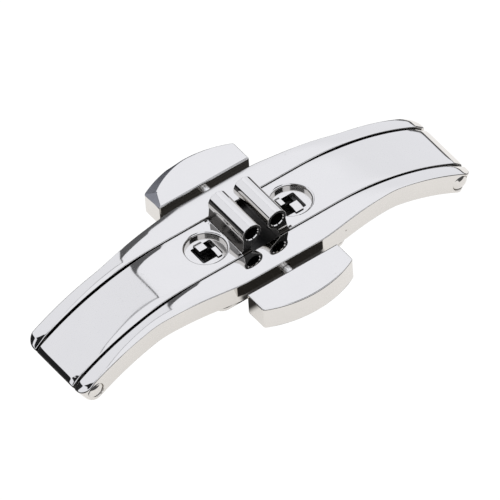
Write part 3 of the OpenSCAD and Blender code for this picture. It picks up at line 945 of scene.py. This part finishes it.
springLook = dict(
    turns=5, coil=0.21, wire=0.04, start=0.35, length=1.24, x=1.6, depth=1.65, keep=0.54, seat=0.0003,
    turnSteps=24, wireSides=10)
coilGroup, bench, given = newGroup("woundSpring", [
    ("Turns", "Float"), ("Coil", "Float"), ("Wire", "Float"), ("Length", "Float"),
    ("Place", "Vector"), ("Lean", "Vector"), ("Finish", "Material")])
helix = bench.add("GeometryNodeCurveSpiral", None, {
    "Resolution": springLook["turnSteps"], "Rotations": given["Turns"], "Start Radius": given["Coil"],
    "End Radius": given["Coil"], "Height": given["Length"]})
section = bench.add("GeometryNodeCurvePrimitiveCircle", None, {
    "Resolution": springLook["wireSides"], "Radius": given["Wire"]})
wound = bench.add("GeometryNodeCurveToMesh", None, {
    "Curve": helix, "Profile Curve": section, "Fill Caps": True})
placed = bench.add("GeometryNodeTransform", None, {
    "Geometry": wound, "Translation": given["Place"], "Rotation": given["Lean"]})
endGroup(bench, placed, given["Finish"])


def makeSpring(end, side):
    look = springLook
    way = 1 if end == "rear" else -1
    x = look["x"] if side == "right" else -look["x"]
    name = f"{end}_{side}"
    spring = newPiece("spring", [(0, 0, 0)], [])
    runGroup(spring, coilGroup, {
        "Turns": float(look["turns"]), "Coil": look["coil"], "Wire": look["wire"], "Length": look["length"],
        "Place": (x, way * look["start"], -look["depth"]), "Lean": (-way * math.pi / 2, 0, 0),
        "Finish": springSteel})
    bake(spring)
    settle(spring, name + "_coil", "frame", springSteel, [name + "_spring"], sharp=60)
    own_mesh(spring)


for end in ("front", "rear"):
    for side in ("left", "right"):
        makeSpring(end, side)
print("springs wound")

screwLook = dict(
    spreadX=11.5, spreadY=8, headRadius=0.65, radius=0.35, headTop=2.65, headDepth=0.24, length=1.64,
    edge=0.05, tip=0.06, slotHalf=0.08, slotDepth=0.1)
screwGroup, bench, given = newGroup("fourScrews", [
    ("Screw", "Object"), ("Spread X", "Float"), ("Spread Y", "Float"), ("Finish", "Material")])
screwShape = bench.add("GeometryNodeObjectInfo", None, {"Object": given["Screw"]}).other("Geometry")
spots = bench.add("GeometryNodeMeshGrid", None, {
    "Size X": given["Spread X"], "Size Y": given["Spread Y"], "Vertices X": 2, "Vertices Y": 2})
twist = bench.add("FunctionNodeRandomValue", {"data_type": "FLOAT_VECTOR"},
                  {0: (0, 0, 0), 1: (0, 0, 3), "Seed": 4})
spread = bench.add("GeometryNodeInstanceOnPoints", None, {
    "Points": spots, "Instance": screwShape, "Rotation": twist})
endGroup(bench, spread, given["Finish"])


def makeScrews():
    look = screwLook
    top, head, radius = look["headTop"], look["headRadius"], look["radius"]
    under, end = top - look["headDepth"], top - look["length"]
    profile = [(head - look["edge"], top), (head, top - look["edge"]), (head, under), (radius, under),
               (radius, end), (radius - look["tip"], end - look["tip"])]
    screw = turned("screw", profile, (0, 0), steps=48)
    slot = block("slot", (-1, 1), (-look["slotHalf"], look["slotHalf"]), (top - look["slotDepth"], top + 1))
    combine(screw, [slot])
    screws = newPiece("screws", [(0, 0, 0)], [])
    runGroup(screws, screwGroup, {"Screw": screw, "Spread X": float(look["spreadX"]),
                                  "Spread Y": float(look["spreadY"]), "Finish": screwSteel})
    bake(screws)
    bpy.data.objects.remove(screw)
    settle(screws, "cover_screw_set", "frame", screwSteel, ["cover_screws"])


makeScrews()
print("screws made")


# The studio: a pale table, a light tent with its seams, and the camera.
# Azimuth 0 is behind the clasp and plus is to its right, both angles in degrees

tent = dict(
    coolLight=(1.0, 1.03, 1.12), plainGlow=1.05, roof=1.17, leftWall=1.1, rightWall=1.19, rightLow=1.1,
    rightRise=(30, 42), dark=0.02, seamAzimuth=12.5, seamWidth=0.7, seamShade=0.9, seamBlend=1,
    wedgeTop=54, wedgeSlope=1.2, wedgeReach=14.0, wedgeStart=(-0.3, 0.1), wedgeEnd=(-0.3, 0.3),
    roofEdge=57, roofSeam=0.8, roofShade=0.5, roofBlend=0.1,
    leftHorizon=19, rightHorizon=0.6, frontHorizon=8, horizonBlend=(-1.5, 1.0),
    leftTurn=(5, 12), rightFront=(85, 110), leftFront=(57, 67),
    screens=(((-146, -61), (28, 49)), ((119, 175), (36, 60))), screenBlend=(4, 1))


def makeTent():
    look = tent
    world = bpy.data.worlds.new("lightTent")
    scene.world = world
    world.use_nodes = True
    bench = Bench(world.node_tree)
    way = bench.add("ShaderNodeSeparateXYZ", None, {0: bench.add("ShaderNodeTexCoord")})
    degrees = 180 / math.pi
    azimuth = way.step("ARCTAN2", way.other("Y")) * degrees
    height = way.other("Z").step("ARCSINE") * degrees

    # walls to both sides of an upright seam, with a roof over them
    seam, roofEdge = look["seamAzimuth"], look["roofEdge"]
    right = bench.rise(azimuth, seam, seam + look["seamBlend"])
    upper = bench.rise(height, *look["rightRise"])
    rightLight = look["rightLow"] + upper * (look["rightWall"] - look["rightLow"])
    walls = rightLight * right + (1 - right) * look["leftWall"]
    above = bench.rise(height, roofEdge, roofEdge + look["seamBlend"])
    light = walls * (1 - above) + above * look["roof"]

    # the dark gap beside the seam is a wedge that widens downwards
    wedge = (look["wedgeTop"] - height).step("MAXIMUM", 0.0) * look["wedgeSlope"]
    wedge = wedge.step("MINIMUM", look["wedgeReach"]) + (seam + look["seamWidth"])
    past = bench.rise(azimuth, *(seam + offset for offset in look["wedgeStart"]))
    before = 1 - bench.rise(azimuth - wedge, *look["wedgeEnd"])
    gap = past * before * (1 - above)
    roofLine = bench.band(height, roofEdge - look["roofSeam"] - look["roofBlend"],
                          roofEdge + look["roofBlend"], look["roofBlend"]) * (1 - right)
    light = light * (1 - gap * look["seamShade"]) * (1 - roofLine * look["roofShade"])

    # dark cards, each as (from, to) in azimuth and in height
    for sides, levels in look["screens"]:
        card = bench.band(azimuth, *sides, look["screenBlend"][0])
        light = light * (1 - card * bench.band(height, *levels, look["screenBlend"][1]))

    # the dark below the tent reaches up to another height on each side
    left = 1 - bench.rise(azimuth, *look["leftTurn"])
    front = bench.rise(azimuth, *look["rightFront"])
    front = front.step("MAXIMUM", bench.rise(azimuth * -1, *look["leftFront"]))
    horizon = look["rightHorizon"] + left * (look["leftHorizon"] - look["rightHorizon"])
    horizon = horizon * (1 - front) + front * look["frontHorizon"]
    low = 1 - bench.rise(height - horizon, *look["horizonBlend"])
    level = light * (1 - low) + look["dark"]

    cool = bench.add("ShaderNodeBackground", None, {"Color": look["coolLight"] + (1,), "Strength": level})
    bench.show("ShaderNodeOutputWorld", cool, "ShaderNodeBackground", look["plainGlow"])


tableLook = dict(
    radius=0.3, corners=96, roughness=0.9, plainGlow=1.05, edge=0.4,
    pale=dict(tint=(0.3, 0.294, 0.288), glowTint=(1.0, 0.985, 0.965), glow=0.85),
    # pale is the table as lit in the steel; dark is a painted shadow with a faint warm glow
    dark=dict(tint=(0.02, 0.02, 0.02), glowTint=(1.0, 0.93, 0.84), glow=0.028),
    # painted light: patches of the table that the steel shows bright
    brightParts=dict(
        near=((-21, 24.3), (-17, 0)), nose=((17.5, 32), (-1, 10)), button=((-10.5, -3.5), (6.2, 15))),
    # painted shadow: patches below the body, arms and pins that the steel shows dark
    shadedParts=dict(
        body=((-3.4, 6.4), (-9.3, 9.3)), middle=((-5.5, 7), (-5, 5)), arms=((-18.5, 18.5), (-3.9, 3.9)),
        leftPin=((-24, -14.5), (-20, -7.8)), rightPin=((20.2, 28), (-20, -7.8))))


def makeFloor():
    # plain and pale to the camera. In the steel it shows painted light close to the clasp and painted shadow
    # below and beyond it
    look, count = tableLook, tableLook["corners"]
    floor = newPiece("table_top", [(x, y, 0) for x, y in arc(0, 0, look["radius"], 0, 360, count)[:-1]],
                     [list(range(count))])
    material = bpy.data.materials.new("paleTable")
    material.use_nodes = True
    bench = Bench(material.node_tree)
    spot = bench.add("ShaderNodeSeparateXYZ", None, {0: bench.add("ShaderNodeTexCoord").other("Object")})
    x, y = spot * (1 / millimetre), spot.other("Y") * (1 / millimetre)

    def within(patch):
        # 1 inside a rectangle of the table, given as (from, to) in x and in y
        return bench.band(x, *patch[0], look["edge"]) * bench.band(y, *patch[1], look["edge"])

    def surface(part):
        return bench.add("ShaderNodeBsdfPrincipled", None, {
            "Base Color": part["tint"] + (1,), "Roughness": look["roughness"],
            "Emission Color": part["glowTint"] + (1,), "Emission Strength": part["glow"]})

    bright, *others = (within(patch) for patch in look["brightParts"].values())
    for patch in others:
        bright = bright.step("MAXIMUM", patch)
    for patch in look["shadedParts"].values():
        bright = bright * (1 - within(patch))
    mirrored = bench.add("ShaderNodeMixShader", None, {
        0: bright, 1: surface(look["dark"]), 2: surface(look["pale"])})
    bench.show("ShaderNodeOutputMaterial", mirrored, "ShaderNodeEmission", look["plainGlow"])
    floor.data.materials.append(material)


# A long lens from 1.5 m away, with its focal length in pixels of the photograph
cameraLook = dict(
    azimuth=-32.97, elevation=47.261, roll=-4.142, distance=1500.0, sideways=0.173, upward=-2.295,
    focalPixels=17361.55, photoPixels=500, sensor=36, clipStart=0.05, clipEnd=5)


def makeCamera():
    look = cameraLook
    a, e, roll = (math.radians(look[key]) for key in ("azimuth", "elevation", "roll"))
    back = Vector((math.sin(a) * math.cos(e), -math.cos(a) * math.cos(e), math.sin(e)))
    level = Vector((math.cos(a), math.sin(a), 0))
    steep = back.cross(level)
    right = level * math.cos(roll) + steep * math.sin(roll)
    up = steep * math.cos(roll) - level * math.sin(roll)
    data = bpy.data.cameras.new("studioCamera")
    data.sensor_width = look["sensor"]
    data.lens = look["sensor"] * (look["focalPixels"] / look["photoPixels"])
    data.clip_start, data.clip_end = look["clipStart"], look["clipEnd"]
    camera = bpy.data.objects.new("studioCamera", data)
    scene.collection.objects.link(camera)
    spot = back * look["distance"] + right * look["sideways"] + up * look["upward"]
    spot = (spot + Vector((0, 0, flatTop))) * millimetre
    turn = Matrix((right, up, back)).transposed().to_4x4()
    camera.matrix_world = Matrix.Translation(spot) @ turn
    scene.camera = camera


makeTent()
makeFloor()
makeCamera()
print("studio made")
